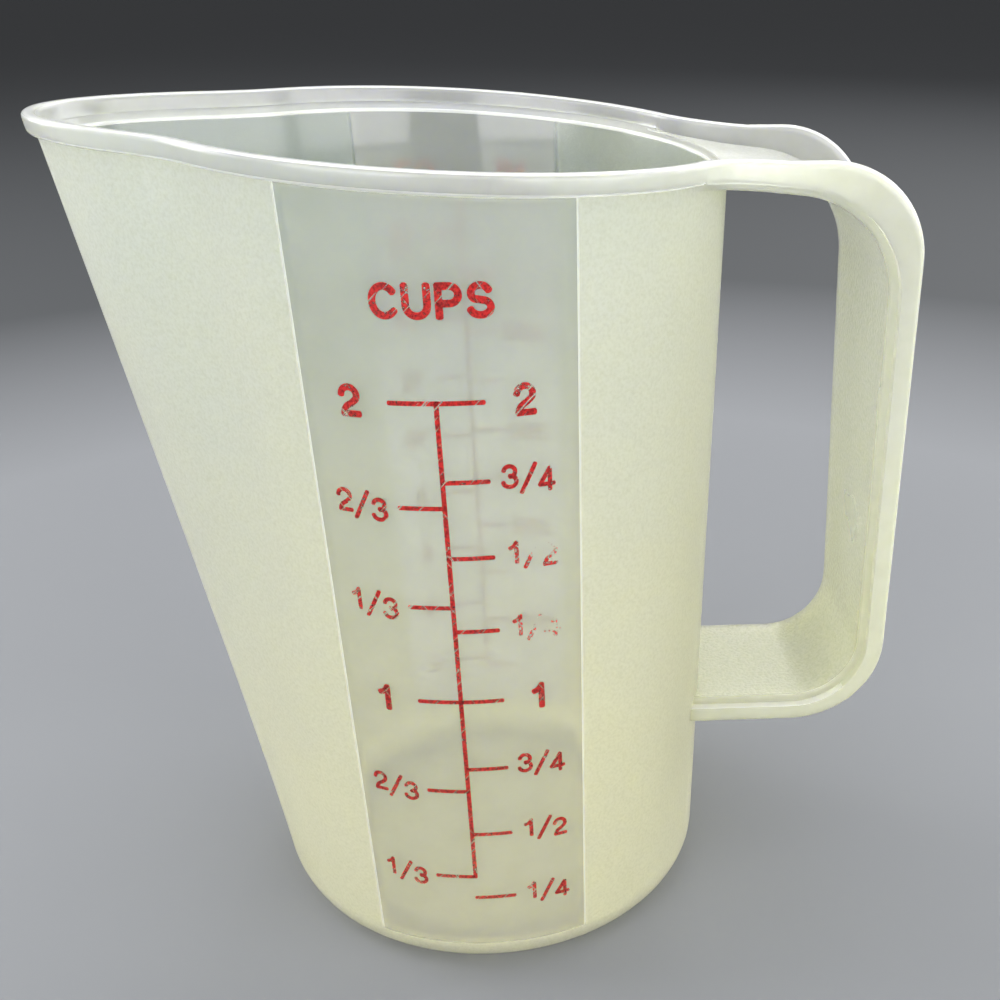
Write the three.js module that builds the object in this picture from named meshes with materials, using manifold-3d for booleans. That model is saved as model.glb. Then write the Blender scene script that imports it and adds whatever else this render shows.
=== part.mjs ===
// Two-cup measuring jug, one moulding in translucent polypropylene with two printed scales.
// Millimetres, +Z up. The origin is the middle of the underside, so the jug stands on Z = 0.
// +X points to the handle, the spout points to -X and the cup scale faces -Y.

import * as THREE from "three";
import { mergeVertices } from "three/addons/utils/BufferGeometryUtils.js";
import Module from "manifold-3d";

const wasm = await Module();
wasm.setup();

// Wall and floor
const RIM_HEIGHT = 133.5; // rim over the middle of the base
const BASE_RADIUS = 38.5; // outside of the wall carried down to the table
const MOUTH_RADIUS = 42; // outside of the wall at the rim, spout left out
const MOUTH_SHIFT = -2; // middle of the mouth from the middle of the base
const WALL = 2.2;
const FLOOR = 2.4;
const FOOT_ROUND = 6; // rounded corner between wall and underside

// Spout: it grows evenly from nothing at the base to its full reach at the rim
const SPOUT_REACH = 17.8;
const SPOUT_HALF_ANGLE = radians(46);
const SPOUT_POWER = 3; // how sharply the lip comes to its point

// Rim band, stepped out from the wall, with a slanted ledge inside
const RIM_SLOPE = 0.061; // fall towards the handle for each millimetre
const RIM_ARCH = 0.00025; // further fall away from the middle, by the square of the distance
const BAND_STEP = 2;
const BAND_HEIGHT = 2.8;
const BAND_WIDTH = 2.2;
const LIP_TUCK = 0.7; // the band stands out less at the tip of the lip
const EDGE_ROUND = 0.8;
const LEDGE_TOP = 2.4; // below the rim
const LEDGE_FALL = 1.1;
const RIM_SKIRT = 2; // plain wall that belongs to the rim pieces, under the handle's web

// Panel lines, as angles either side of the front and rear
const PANEL_TO_HANDLE = radians(65);
const PANEL_TO_SPOUT = radians(118.7);

// Handle: a web under the fingers, with a band along each edge of its outside
const WEB = 1.5;
const FINGER_GAP = 23.5; // finger side of the grip, at the lower bridge, past the mouth's radius
const GRIP_LEAN = Math.tan(radians(1.9));
const BRIDGE_HEIGHT = 37.3; // finger side of the lower bridge over the table
const UPPER_DEPTH = 4.7; // rim to finger side at the upper joint
const UPPER_FALL = 0.12; // fall of the upper bridge's finger side for each millimetre
const WEB_HALF_WIDTH = 12.9; // at the lower bridge
const WEB_FLARE = 0.05; // growth of the half width for each millimetre of height
const HANDLE_STEP = 1.6; // bands past the web's edge
const FINGER_ROUND_TOP = 16;
const FINGER_ROUND_LOW = 11;
const BAND_ROUND_TOP = 15;
const CHANNEL_BITE = 0.2; // the strap's channel cuts this far into the rim band's inner face
const ROOT_STUB = 2.2; // length of the lower bridge that belongs to the wall

// Printed scales
const INK = 0.15;
const STROKE = 0.75;
const TICK = 6.2; // from the middle of the stem
const STEM_ANGLE = radians(92.4);
const CUP = 236.588; // millilitres
const OUNCE = CUP / 8;
const MILLILITRE_STEP = 50;
const MILLILITRE_MARKS = 10;
const OUNCE_STEP = 2;
const OUNCE_MARKS = 8;

// Facets
const ANGLE_STEP = radians(3.4);
const CORNER_SEGMENTS = 9;
const ROUND_SEGMENTS = 3;

function radians(degrees) {
  return (degrees * Math.PI) / 180;
}

// Wall surface

/** Share of the spout's reach at an angle: 1 at the lip, 0 outside the spout. */
function spoutShare(angle) {
  const turn = (Math.atan2(Math.sin(angle), -Math.cos(angle)) / SPOUT_HALF_ANGLE) ** 2;
  return turn < 1 ? (1 - turn) ** SPOUT_POWER : 0;
}

function wallRadius(angle, rise) {
  const round = BASE_RADIUS + (MOUTH_RADIUS - BASE_RADIUS) * rise;
  return round + SPOUT_REACH * rise * spoutShare(angle);
}

/** Point in plan at a share of the rim height, moved outwards from the wall's outside. */
function planPoint(angle, rise, offset) {
  const small = 1e-4;
  const radius = wallRadius(angle, rise);
  const growth = (wallRadius(angle + small, rise) - wallRadius(angle - small, rise)) / (2 * small);
  const along = offset / Math.hypot(radius, growth);
  const cos = Math.cos(angle);
  const sin = Math.sin(angle);
  const x = radius * cos + along * (radius * cos + growth * sin);
  const y = radius * sin + along * (radius * sin - growth * cos);
  return [MOUTH_SHIFT * rise + x, y];
}

/** Point on the wall, moved outwards by offset, where its height equals level(x). */
function wallPoint(angle, offset, level) {
  let height = level(0);
  let plan = planPoint(angle, height / RIM_HEIGHT, offset);
  for (let round = 0; round < 8; round += 1) {
    height = level(plan[0]);
    plan = planPoint(angle, height / RIM_HEIGHT, offset);
  }
  return [plan[0], plan[1], height];
}

function rimLevel(x) {
  return RIM_HEIGHT - RIM_SLOPE * x - RIM_ARCH * x * x;
}

function belowRim(drop) {
  return (x) => rimLevel(x) - drop;
}

/** Flat sloping face on which the rim pieces sit. */
function rimSeat(x) {
  return RIM_HEIGHT - BAND_HEIGHT - WEB - RIM_SKIRT - RIM_SLOPE * x;
}

function flat(height) {
  return () => height;
}

// Solids

function steps(from, to, count) {
  return Array.from({ length: count + 1 }, (_, i) => from + ((to - from) * i) / count);
}

function sectorAngles(from, to) {
  return steps(from, to, Math.ceil((to - from) / ANGLE_STEP));
}

/** Quarter-round points about a centre in a section, between two angles in degrees. */
function sectionArc(offset, height, radius, from, to) {
  return steps(radians(from), radians(to), ROUND_SEGMENTS).map((turn) => ({
    offset: offset + radius * Math.cos(turn),
    height: height + radius * Math.sin(turn),
  }));
}

function meshGeometry(points, triangles) {
  const geometry = new THREE.BufferGeometry();
  geometry.setAttribute("position", new THREE.Float32BufferAttribute(points.flat(), 3));
  geometry.setIndex(triangles.flat());
  return geometry;
}

/** Solid through a row of loops with equal point counts, closed by a face at each end. */
function loftSolid(loops, endShape) {
  const size = loops[0].length;
  const triangles = [];
  for (let ring = 0; ring + 1 < loops.length; ring += 1) {
    for (let i = 0; i < size; i += 1) {
      const a = ring * size + i;
      const b = ring * size + ((i + 1) % size);
      triangles.push([a, b, b + size], [a, b + size, a + size]);
    }
  }
  const last = (loops.length - 1) * size;
  for (const [a, b, c] of THREE.ShapeUtils.triangulateShape(endShape, [])) {
    triangles.push([c, b, a], [last + a, last + b, last + c]);
  }
  return outward(meshGeometry(loops.flat(), triangles));
}

/** Ring sector: one section, given as wall offsets and levels, carried along the wall. A point
 *  with a tuck moves in by that much at the tip of the lip. */
function wallSector(angles, section) {
  const loops = angles.map((angle) =>
    section.map((p) => wallPoint(angle, p.offset - (p.tuck ?? 0) * spoutShare(angle), p.level)),
  );
  const endShape = section.map((p) => new THREE.Vector2(p.offset, p.level(0)));
  return loftSolid(loops, endShape);
}

/** Round solid through closed level loops, each a wall offset and a height. */
function wallStack(levels) {
  const angles = sectorAngles(0, 2 * Math.PI).slice(0, -1);
  const loops = levels.map((p) => angles.map((angle) => wallPoint(angle, p.offset, flat(p.height))));
  const endShape = loops[0].map(([x, y]) => new THREE.Vector2(x, y));
  return loftSolid(loops, endShape);
}

/** Plate in the XZ plane, ended by two faces whose Y is a straight function of height. */
function sidePlate(outline, nearY, farY) {
  const shape = new THREE.Shape(outline.map(([x, z]) => new THREE.Vector2(x, z)));
  return mapped(new THREE.ExtrudeGeometry(shape, { depth: 1, bevelEnabled: false }), (x, z, end) => [
    x,
    end < 0.5 ? farY(z) : nearY(z),
    z,
  ]);
}

/** Plate with a plan outline, between two levels. */
function planPlate(outline, lowLevel, highLevel) {
  const shape = new THREE.Shape(outline.map(([x, y]) => new THREE.Vector2(x, y)));
  return mapped(new THREE.ExtrudeGeometry(shape, { depth: 1, bevelEnabled: false }), (x, y, end) => [
    x,
    y,
    end < 0.5 ? lowLevel(x) : highLevel(x),
  ]);
}

function mapped(geometry, place) {
  const position = geometry.getAttribute("position");
  for (let i = 0; i < position.count; i += 1) {
    position.setXYZ(i, ...place(position.getX(i), position.getY(i), position.getZ(i)));
  }
  return geometry;
}

function welded(geometry) {
  const bare = new THREE.BufferGeometry();
  bare.setAttribute("position", geometry.getAttribute("position"));
  bare.setIndex(geometry.getIndex());
  return mergeVertices(bare, 1e-5);
}

/** Turns every triangle over when the solid came out inside out. */
function outward(geometry) {
  const position = geometry.getAttribute("position");
  const index = geometry.getIndex().array;
  const corner = [new THREE.Vector3(), new THREE.Vector3(), new THREE.Vector3()];
  let volume = 0;
  for (let i = 0; i < index.length; i += 3) {
    corner.forEach((point, k) => point.fromBufferAttribute(position, index[i + k]));
    volume += corner[0].dot(corner[1].cross(corner[2]));
  }
  if (volume < 0) {
    index.reverse();
  }
  return geometry;
}

function toManifold(geometry) {
  const solid = welded(geometry);
  const vertProperties = new Float32Array(solid.getAttribute("position").array);
  const triVerts = new Uint32Array(solid.getIndex().array);
  return new wasm.Manifold(new wasm.Mesh({ numProp: 3, vertProperties, triVerts }));
}

function fromManifold(solid) {
  const { vertProperties, triVerts } = solid.getMesh();
  const geometry = new THREE.BufferGeometry();
  geometry.setAttribute("position", new THREE.BufferAttribute(vertProperties, 3));
  geometry.setIndex(new THREE.BufferAttribute(triVerts, 1));
  return geometry;
}

// Floor and wall pieces

const footSlice = Math.asin(1 - FLOOR / FOOT_ROUND) * (180 / Math.PI);
const innerRound = FOOT_ROUND - WALL;

function footOutside(from, to) {
  return sectionArc(-FOOT_ROUND, FOOT_ROUND, FOOT_ROUND, -from, -to);
}

const baseFloor = wallStack(footOutside(90, footSlice));

const wallSection = [
  ...footOutside(footSlice, 0),
  { offset: 0, level: rimSeat },
  { offset: -WALL, level: rimSeat },
  ...sectionArc(-FOOT_ROUND, FLOOR + innerRound, innerRound, 0, -90),
].map((p) => ({ offset: p.offset, level: p.level ?? flat(p.height) }));

const spans = {
  front: sectorAngles(-PANEL_TO_SPOUT, -PANEL_TO_HANDLE),
  handle: sectorAngles(-PANEL_TO_HANDLE, PANEL_TO_HANDLE),
  rear: sectorAngles(PANEL_TO_HANDLE, PANEL_TO_SPOUT),
  spout: sectorAngles(PANEL_TO_SPOUT, 2 * Math.PI - PANEL_TO_SPOUT),
};

// Rim pieces

const bandInside = BAND_STEP - BAND_WIDTH;
const bandSection = [
  { offset: BAND_STEP, height: -BAND_HEIGHT },
  ...sectionArc(BAND_STEP - EDGE_ROUND, -EDGE_ROUND, EDGE_ROUND, 0, 90),
  ...sectionArc(bandInside + EDGE_ROUND, -EDGE_ROUND, EDGE_ROUND, 90, 180),
  { offset: bandInside, height: -LEDGE_TOP },
].map((p) => ({ offset: p.offset, tuck: LIP_TUCK, level: belowRim(-p.height) }));
const rimSection = [
  { offset: 0, level: rimSeat },
  { offset: 0, level: belowRim(BAND_HEIGHT) },
  ...bandSection,
  { offset: -WALL, level: belowRim(LEDGE_TOP + LEDGE_FALL) },
  { offset: -WALL, level: rimSeat },
];

// Handle outline, seen from the side

function webHalf(height) {
  return WEB_HALF_WIDTH + WEB_FLARE * (height - BRIDGE_HEIGHT);
}

/** Points of an arc of a radius that rounds the corner between two straight lines. */
function roundedCorner(before, corner, after, radius) {
  const middle = new THREE.Vector2(...corner);
  const toBefore = new THREE.Vector2(...before).sub(middle).normalize();
  const toAfter = new THREE.Vector2(...after).sub(middle).normalize();
  const half = Math.acos(toBefore.dot(toAfter)) / 2;
  const bisector = toBefore.clone().add(toAfter).normalize();
  const centre = middle.clone().addScaledVector(bisector, radius / Math.sin(half));
  const start = middle.clone().addScaledVector(toBefore, radius / Math.tan(half)).sub(centre);
  const end = middle.clone().addScaledVector(toAfter, radius / Math.tan(half)).sub(centre);
  const sweep = Math.atan2(start.cross(end), start.dot(end));
  return steps(0, sweep, CORNER_SEGMENTS).map((turn) => {
    const point = start.clone().rotateAround(new THREE.Vector2(), turn).add(centre);
    return [point.x, point.y];
  });
}

// Flat faces where the strap meets its two roots: the upper one just before the corner begins
const gripReach = MOUTH_RADIUS + FINGER_GAP;
const upperJoint = gripReach - GRIP_LEAN * (RIM_HEIGHT - BRIDGE_HEIGHT) - FINGER_ROUND_TOP;
const lowerJoint = planPoint(0, BRIDGE_HEIGHT / RIM_HEIGHT, ROOT_STUB)[0];

/** Finger side of the upper bridge. */
function fingerLevel(x) {
  return rimLevel(upperJoint) - UPPER_DEPTH - UPPER_FALL * (x - upperJoint);
}

/** Side path of the strap from the upper to the lower joint, a depth away from the fingers. */
function strapPath(topLevel, depth, roundTop) {
  const low = BRIDGE_HEIGHT - depth;
  const gripX = (height) => gripReach + depth - GRIP_LEAN * (height - BRIDGE_HEIGHT);
  const start = [upperJoint, topLevel(upperJoint)];
  const cornerTop = topLevel(gripX(start[1]));
  const upperCorner = [gripX(cornerTop), cornerTop];
  const lowerCorner = [gripX(low), low];
  const end = [lowerJoint, low];
  return [
    start,
    ...roundedCorner(start, upperCorner, lowerCorner, roundTop),
    ...roundedCorner(upperCorner, lowerCorner, end, FINGER_ROUND_LOW + depth),
    end,
  ];
}

const webBackLevel = (x) => fingerLevel(x) + WEB;
const fingerPath = strapPath(fingerLevel, 0, FINGER_ROUND_TOP);
const webBackPath = strapPath(webBackLevel, WEB, FINGER_ROUND_TOP + WEB);
const bandEdgePath = strapPath(flat(rimLevel(upperJoint)), WEB + BAND_HEIGHT, BAND_ROUND_TOP);

const bandOuter = (height) => webHalf(height) + HANDLE_STEP;
const bandInner = (height) => bandOuter(height) - BAND_WIDTH;
const negative = (value) => (height) => -value(height);

const webOutline = [...fingerPath, ...webBackPath.toReversed()];
const bandOutline = [...webBackPath, ...bandEdgePath.toReversed()];
const handleWeb = sidePlate(webOutline, negative(webHalf), webHalf);
const bandFront = sidePlate(bandOutline, negative(bandOuter), negative(bandInner));
const bandRear = sidePlate(bandOutline, bandInner, bandOuter);

// Handle roots, fused with the rim piece and the wall piece that carry them

const rootOverlap = WALL / 2;
const core = toManifold(
  wallStack([
    { offset: -rootOverlap, height: FOOT_ROUND + FLOOR },
    { offset: -rootOverlap, height: RIM_HEIGHT },
  ]),
);

/** Plan outline of the upper root: from the joint, a hollow blend runs into the round rim. */
function rootOutline(halfWidth, reach, rimOffset) {
  const rise = rimLevel(reach) / RIM_HEIGHT;
  const middle = MOUTH_SHIFT * rise;
  const rimRadius = wallRadius(0, rise) + rimOffset;
  const length = reach - middle;
  const blend = (length ** 2 + halfWidth ** 2 - rimRadius ** 2) / (2 * (rimRadius - halfWidth));
  const meet = Math.atan2(halfWidth + blend, length);
  const arc = steps(-Math.PI / 2, meet - Math.PI, CORNER_SEGMENTS).map((turn) => [
    reach + blend * Math.cos(turn),
    halfWidth + blend + blend * Math.sin(turn),
  ]);
  const inside = rimRadius - 2 * BAND_WIDTH;
  const side = [...arc, [middle + inside * Math.cos(meet), inside * Math.sin(meet)]];
  return [...side, ...side.map(([x, y]) => [x, -y]).toReversed()];
}

const rootHalf = bandOuter(rimLevel(upperJoint));
const rootBandPlan = rootOutline(rootHalf, upperJoint, BAND_STEP);
const rootBandLow = (x) => Math.min(rimLevel(x) - BAND_HEIGHT, webBackLevel(x));
const rootBand = toManifold(planPlate(rootBandPlan, rootBandLow, rimLevel));
const rootWebPlan = rootOutline(rootHalf - HANDLE_STEP, upperJoint, 0);
const rootWeb = toManifold(planPlate(rootWebPlan, fingerLevel, belowRim(BAND_HEIGHT / 2)));
const channelPlan = rootOutline(rootHalf - BAND_WIDTH, upperJoint, bandInside + CHANNEL_BITE);
const channel = toManifold(planPlate(channelPlan, webBackLevel, belowRim(-BAND_HEIGHT)));
const upperRoot = rootBand.add(rootWeb).subtract(core);
const handleRoot = toManifold(wallSector(spans.handle, rimSection)).add(upperRoot).subtract(channel);

const stubWeb = [
  [0, BRIDGE_HEIGHT],
  [lowerJoint, BRIDGE_HEIGHT],
  [lowerJoint, BRIDGE_HEIGHT - WEB],
  [0, BRIDGE_HEIGHT - WEB],
];
const stubBand = [
  [0, BRIDGE_HEIGHT - WEB / 2],
  [lowerJoint, BRIDGE_HEIGHT - WEB],
  [lowerJoint, BRIDGE_HEIGHT - WEB - BAND_HEIGHT],
  [0, BRIDGE_HEIGHT - WEB - BAND_HEIGHT],
];
const lowerRoot = toManifold(sidePlate(stubWeb, negative(webHalf), webHalf))
  .add(toManifold(sidePlate(stubBand, negative(bandOuter), negative(bandInner))))
  .add(toManifold(sidePlate(stubBand, bandInner, bandOuter)))
  .subtract(core);
const handleSide = toManifold(wallSector(spans.handle, wallSection)).add(lowerRoot);

// Printed scales

/** Offset of the inside face at a height, with the rounded corner at the floor. */
function insideOffset(height) {
  const below = Math.max(0, FLOOR + innerRound - height);
  return Math.sqrt(innerRound ** 2 - below ** 2) - FOOT_ROUND;
}

/** Height over the table that a volume in millilitres reaches inside the jug. */
function fillHeight(volume) {
  const slice = 0.1;
  const angles = steps(0, 2 * Math.PI, 120).slice(0, -1);
  let height = FLOOR;
  let filled = 0;
  while (filled < volume) {
    const middle = height + slice / 2;
    const offset = insideOffset(middle);
    const loop = angles.map((angle) => new THREE.Vector2(...planPoint(angle, middle / RIM_HEIGHT, offset)));
    filled += (THREE.ShapeUtils.area(loop) * slice) / 1000;
    height += slice;
  }
  return height;
}

/** Point on a panel's flat facets, moved outwards by offset. */
function facetPoint(panel, angle, offset, height) {
  const next = panel.findIndex((edge) => edge >= angle);
  const share = (angle - panel[next - 1]) / (panel[next] - panel[next - 1]);
  const before = new THREE.Vector3(...wallPoint(panel[next - 1], offset, flat(height)));
  const after = new THREE.Vector3(...wallPoint(panel[next], offset, flat(height)));
  return before.lerp(after, share).toArray();
}

function sortedEdges(values) {
  return [...new Set(values)].sort((a, b) => a - b);
}

/** Printed film on a panel, joined from bars that each span two angles and two heights. */
function inkFilm(panel, bars) {
  const rows = sortedEdges(bars.flatMap((bar) => [bar.low, bar.high]));
  const ends = sortedEdges(bars.flatMap((bar) => [bar.from, bar.to]));
  const folds = panel.filter((angle) => angle > ends[0] && angle < ends.at(-1));
  const columns = sortedEdges([...ends, ...folds]);
  const points = columns.flatMap((angle) =>
    rows.flatMap((height) => [0, INK].map((offset) => facetPoint(panel, angle, offset, height))),
  );
  const printed = (column, row) => {
    const angle = (columns[column] + columns[column + 1]) / 2;
    const height = (rows[row] + rows[row + 1]) / 2;
    return bars.some((bar) => angle > bar.from && angle < bar.to && height > bar.low && height < bar.high);
  };
  const triangles = [];
  const quad = (a, b, c, d) => triangles.push([a, b, c], [a, c, d]);
  const corner = (column, row, layer) => (column * rows.length + row) * 2 + layer;
  for (let column = 0; column + 1 < columns.length; column += 1) {
    for (let row = 0; row + 1 < rows.length; row += 1) {
      if (printed(column, row)) {
        const inner = [[0, 0], [1, 0], [1, 1], [0, 1]].map(([c, r]) => corner(column + c, row + r, 0));
        const outer = inner.map((index) => index + 1);
        const neighbours = [[0, -1], [1, 0], [0, 1], [-1, 0]];
        quad(...outer);
        quad(...inner.toReversed());
        neighbours.forEach(([c, r], side) => {
          const next = (side + 1) % 4;
          if (!printed(column + c, row + r)) {
            quad(inner[side], inner[next], outer[next], outer[side]);
          }
        });
      }
    }
  }
  return meshGeometry(points, triangles);
}

/** Tick at a volume, on one side of the stem: +1 towards the handle, -1 towards the spout. */
function tickBar(stem, volume, side) {
  const height = fillHeight(volume);
  const end = stem - Math.sign(stem) * side * tickAngle;
  return {
    from: Math.min(stem - stemHalfAngle, end),
    to: Math.max(stem + stemHalfAngle, end),
    low: height - STROKE / 2,
    high: height + STROKE / 2,
  };
}

function stemBar(stem, lowVolume, highVolume) {
  return {
    from: stem - stemHalfAngle,
    to: stem + stemHalfAngle,
    low: fillHeight(lowVolume),
    high: fillHeight(highVolume),
  };
}

const tickAngle = TICK / BASE_RADIUS;
const stemHalfAngle = STROKE / 2 / BASE_RADIUS;

const quarters = [2, 1.75, 1.5, 1.25, 1, 0.75, 0.5].map((cups) => tickBar(-STEM_ANGLE, cups * CUP, 1));
const thirds = [2, 5 / 3, 4 / 3, 1, 2 / 3, 1 / 3].map((cups) => tickBar(-STEM_ANGLE, cups * CUP, -1));
const cupStem = stemBar(-STEM_ANGLE, CUP / 3, 2 * CUP);
const frontScale = inkFilm(spans.front, [cupStem, ...quarters, ...thirds]);
const quarterMark = inkFilm(spans.front, [tickBar(-STEM_ANGLE, CUP / 4, 1)]);

const millilitreVolumes = steps(1, MILLILITRE_MARKS, MILLILITRE_MARKS - 1).map((n) => n * MILLILITRE_STEP);
const ounceVolumes = steps(1, OUNCE_MARKS, OUNCE_MARKS - 1).map((n) => n * OUNCE_STEP * OUNCE);
const rearScale = inkFilm(spans.rear, [
  stemBar(STEM_ANGLE, millilitreVolumes[0], millilitreVolumes.at(-1)),
  ...millilitreVolumes.map((volume) => tickBar(STEM_ANGLE, volume, 1)),
  ...ounceVolumes.map((volume) => tickBar(STEM_ANGLE, volume, -1)),
]);

// Assembly

const frosted = new THREE.MeshStandardMaterial({ color: 0xdcdcbe, roughness: 0.55, metalness: 0 });
const polished = new THREE.MeshStandardMaterial({ color: 0xd2d6c6, roughness: 0.25, metalness: 0 });
const ink = new THREE.MeshStandardMaterial({ color: 0xb8342c, roughness: 0.5, metalness: 0 });

const jug = new THREE.Group();
jug.name = "measuring_jug";

function addPiece(name, geometry, material) {
  const mesh = new THREE.Mesh(geometry, material);
  mesh.name = name;
  jug.add(mesh);
}

addPiece("base_floor", baseFloor, polished);
addPiece("front_panel", wallSector(spans.front, wallSection), polished);
addPiece("rear_panel", wallSector(spans.rear, wallSection), polished);
addPiece("spout_wall", wallSector(spans.spout, wallSection), frosted);
addPiece("handle_side_wall", fromManifold(handleSide), frosted);
addPiece("spout_lip", wallSector(spans.spout, rimSection), polished);
addPiece("rim_front", wallSector(spans.front, rimSection), polished);
addPiece("rim_rear", wallSector(spans.rear, rimSection), polished);
addPiece("handle_root", fromManifold(handleRoot), polished);
addPiece("handle_web", handleWeb, frosted);
addPiece("handle_band_front", bandFront, polished);
addPiece("handle_band_rear", bandRear, polished);
addPiece("front_scale", frontScale, ink);
addPiece("front_quarter_mark", quarterMark, ink);
addPiece("rear_scale", rearScale, ink);

export default jug;
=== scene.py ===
import math
import bpy
import numpy as np
from mathutils import Matrix, Vector


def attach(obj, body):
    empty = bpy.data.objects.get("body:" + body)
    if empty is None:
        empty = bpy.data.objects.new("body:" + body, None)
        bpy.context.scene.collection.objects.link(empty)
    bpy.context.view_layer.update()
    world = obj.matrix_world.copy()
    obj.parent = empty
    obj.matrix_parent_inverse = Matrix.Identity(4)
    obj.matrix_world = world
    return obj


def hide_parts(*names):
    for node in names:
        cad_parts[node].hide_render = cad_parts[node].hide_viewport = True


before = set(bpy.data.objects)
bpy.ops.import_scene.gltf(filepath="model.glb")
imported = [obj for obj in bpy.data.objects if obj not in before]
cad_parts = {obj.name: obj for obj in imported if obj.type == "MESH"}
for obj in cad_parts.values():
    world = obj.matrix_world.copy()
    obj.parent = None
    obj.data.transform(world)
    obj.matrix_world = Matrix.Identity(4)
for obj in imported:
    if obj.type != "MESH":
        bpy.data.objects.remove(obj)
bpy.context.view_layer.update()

# The wall, floor and rim
# One moulding in translucent polypropylene: a round cup that is drawn out into a pouring lip on one side,
# with a band stepped out all round the mouth and a slanted ledge just inside it.

MM = 0.001
RIM_HEIGHT = 133.5 * MM
BASE_RADIUS = 38.5 * MM
MOUTH_RADIUS = 42 * MM
MOUTH_SHIFT = -2 * MM
WALL = 2.2 * MM
FLOOR = 2.4 * MM
FOOT_ROUND = 6 * MM
SPOUT_REACH = 17.8 * MM
SPOUT_HALF_ANGLE = math.radians(46)
SPOUT_POWER = 3
RIM_SLOPE = 0.061
RIM_ARCH = 0.00025 / MM
BAND_STEP = 1.97 * MM
BAND_HEIGHT = 2.8 * MM
BAND_WIDTH = 2.2 * MM
LIP_TUCK = 0.85 * MM
EDGE_ROUND = 0.8 * MM
LEDGE_TOP = 2.4 * MM
LEDGE_FALL = 1.1 * MM
SMALL_ROUND = 0.4 * MM
STANDING_RING = 4 * MM
UNDERSIDE_HOLLOW = 0.5 * MM
GATE_RADIUS = 2.5 * MM
GATE_DEPTH = 0.6 * MM
PANEL_TO_HANDLE = math.radians(65)
PANEL_TO_SPOUT = math.radians(118.75)
PANEL_SINK = 0.1 * MM
PANEL_LINE = 0.2 * MM
WALL_COLUMNS = 288
WALL_ROWS = 12
FOOT_STEPS = 9
SMALL_STEPS = 3
EDGE_STEPS = 6
SETTLING_ROUNDS = 8
SAME_PLACE = 1e-7
TOP_GAP = 0.01 * MM
BAND_INSIDE = BAND_STEP - BAND_WIDTH
BLANK_RADIUS = 100 * MM


def spout_share(angle):
    """Share of the spout's reach at an angle: 1 at the lip, 0 outside the spout."""
    turn = (np.arctan2(np.sin(angle), -np.cos(angle)) / SPOUT_HALF_ANGLE) ** 2
    return np.clip(1 - turn, 0, None) ** SPOUT_POWER


def wall_radius(angle, rise):
    return BASE_RADIUS + (MOUTH_RADIUS - BASE_RADIUS) * rise + SPOUT_REACH * rise * spout_share(angle)


def plan_point(angle, rise, offset):
    """Plan place at a share of the rim height, moved outwards from the wall's outside."""
    small = 1e-4
    radius = wall_radius(angle, rise)
    growth = (wall_radius(angle + small, rise) - wall_radius(angle - small, rise)) / (2 * small)
    along = offset / np.hypot(radius, growth)
    cos, sin = np.cos(angle), np.sin(angle)
    x = MOUTH_SHIFT * rise + radius * cos + along * (radius * cos + growth * sin)
    y = radius * sin + along * (radius * sin - growth * cos)
    return x, y


def rim_level(x):
    return RIM_HEIGHT - RIM_SLOPE * x - RIM_ARCH * x * x


def wall_point(angle, offset, height, tilt):
    """Place on the wall; tilt is the share of the rim's slope that the height takes on there."""
    level = height
    for _ in range(SETTLING_ROUNDS):
        x, y = plan_point(angle, level / RIM_HEIGHT, offset)
        level = height + tilt * (rim_level(x) - RIM_HEIGHT)
    return np.stack([x, y, level], axis=-1)


def section_arc(offset, height, radius, start, end, count):
    turns = np.radians(np.linspace(start, end, count + 1))
    return [(offset + radius * math.cos(t), height + radius * math.sin(t)) for t in turns]


def mesh_points(piece):
    points = np.empty(len(piece.data.vertices) * 3)
    piece.data.vertices.foreach_get("co", points)
    return points.reshape(-1, 3)


def move_points(piece, places):
    piece.data.vertices.foreach_set("co", np.ascontiguousarray(places, dtype=np.float64).ravel())
    piece.data.update()


def added(name):
    piece = bpy.context.object
    piece.name = name
    piece.data.name = name
    return piece


def edit(piece, *operations):
    """Runs edit-mode operations on the whole of one piece."""
    bpy.ops.object.select_all(action="DESELECT")
    bpy.context.view_layer.objects.active = piece
    piece.select_set(True)
    bpy.ops.object.mode_set(mode="EDIT")
    bpy.ops.mesh.select_all(action="SELECT")
    for operation in operations:
        operation()
    bpy.ops.object.mode_set(mode="OBJECT")


def weld():
    bpy.ops.mesh.remove_doubles(threshold=SAME_PLACE)


def face_out():
    bpy.ops.mesh.select_all(action="SELECT")
    bpy.ops.mesh.normals_make_consistent(inside=False)


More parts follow.
